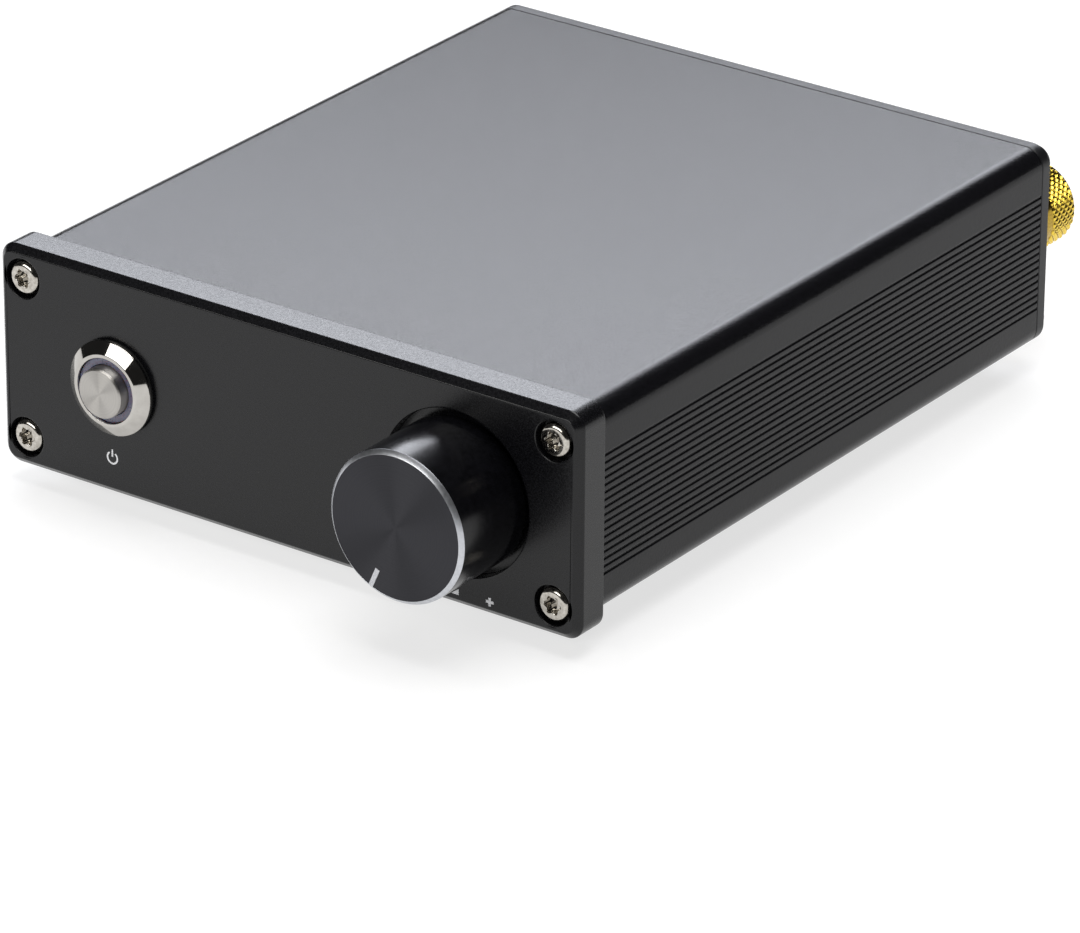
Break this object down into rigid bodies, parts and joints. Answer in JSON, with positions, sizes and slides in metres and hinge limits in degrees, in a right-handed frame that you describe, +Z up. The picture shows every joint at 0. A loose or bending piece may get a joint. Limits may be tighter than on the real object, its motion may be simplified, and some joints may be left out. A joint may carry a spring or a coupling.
{
  "type": "phono preamplifier",
  "caption": "Low black extruded aluminium case with a thick front panel, a round volume knob, a ringed power button and phono sockets, supply inlet and earth terminal behind.",
  "frame": {"origin": "below the middle of the whole object, on the plane that the feet stand on", "axes": "+X to the right seen from the front, +Y from the front panel to the back, +Z up"},
  "size_m": [0.097, 0.143, 0.0355],
  "materials": {
    "panel_anodised": "black anodised over fine blasting",
    "case_anodised": "black anodised over fine blasting",
    "rear_anodised": "black anodised",
    "nickel": "bright nickel",
    "black_steel": "blackened",
    "foot_rubber": "matt",
    "knob_anodised": "black anodised, turned face, polished rim",
    "shaft_steel": "turned",
    "pot_metal": "zinc",
    "tinned": "tinned",
    "switch_chrome": "polished",
    "light_ring": "clear, unlit",
    "button_steel": "turned face",
    "black_plastic": "moulded",
    "chip_plastic": "moulded",
    "white_plastic": "moulded",
    "red_plastic": "moulded",
    "wire_jacket": "smooth",
    "board_laminate": "solder mask",
    "can_sleeve": "printed sleeve",
    "film_box": "moulded",
    "resistor_lacquer": "lacquered",
    "sink_aluminium": "plain",
    "gold_plate": "gold plated"
  },
  "bodies": {
    "case": {"front_panel": "panel_anodised", "enclosure_body": "case_anodised", "rear_panel": "rear_anodised", "front_screws": "nickel", "rear_screws": "black_steel", "rubber_feet": "foot_rubber", "pot_housing": "pot_metal", "pot_washer": "nickel", "pot_nut": "nickel", "pot_pins": "tinned", "switch_body": "switch_chrome", "switch_light_ring": "light_ring", "switch_seal": "foot_rubber", "switch_nut": "nickel", "switch_base": "black_plastic", "switch_terminals": "tinned", "switch_wires": "wire_jacket", "wire_plug": "white_plastic", "board_header": "white_plastic", "main_board": "board_laminate", "supply_capacitors": "can_sleeve", "signal_capacitors": "can_sleeve", "film_capacitors": "film_box", "chip_sockets": "black_plastic", "amplifier_chips": "chip_plastic", "resistors": "resistor_lacquer", "regulator": "chip_plastic", "heat_sink": "sink_aluminium", "phono_blocks": "black_plastic", "phono_sleeves": "gold_plate", "phono_inserts_white": "white_plastic", "phono_inserts_red": "red_plastic", "phono_contacts": "gold_plate", "supply_socket": "black_plastic", "supply_pin": "nickel", "earth_stud": "gold_plate", "earth_tag": "tinned", "earth_back_nut": "nickel"},
    "knob": {"volume_knob": "knob_anodised", "knob_set_screw": "black_steel", "pot_shaft": "shaft_steel"},
    "button": {"power_button_cap": "button_steel"},
    "earth_washer": {"earth_clamp_washer": "gold_plate"},
    "earth_nut": {"earth_thumb_nut": "gold_plate"}
  },
  "joints": [
    {"name": "volume_turn", "type": "hinge", "parent": "case", "child": "knob", "pos_m": [0.0285, -0.0583, 0.0191], "axis": [0, 1, 0], "range_deg": [0, 300]},
    {"name": "power_press", "type": "slide", "parent": "case", "child": "button", "axis": [0, 1, 0], "range_m": [0, 0.002], "stiffness_N_per_m": 600, "springref_m": -0.001},
    {"name": "earth_washer_slide", "type": "slide", "parent": "case", "child": "earth_washer", "axis": [0, 1, 0], "range_m": [0, 0.0035]},
    {"name": "earth_nut_turn", "type": "hinge", "parent": "earth_washer", "child": "earth_nut", "pos_m": [0.0377, 0.0577, 0.0191], "axis": [0, 1, 0], "range_deg": [0, 1804]}
  ],
  "couplings": [
    {"joint": "earth_nut_turn", "follows": "earth_washer_slide", "rad_per_m": 8976}
  ]
}
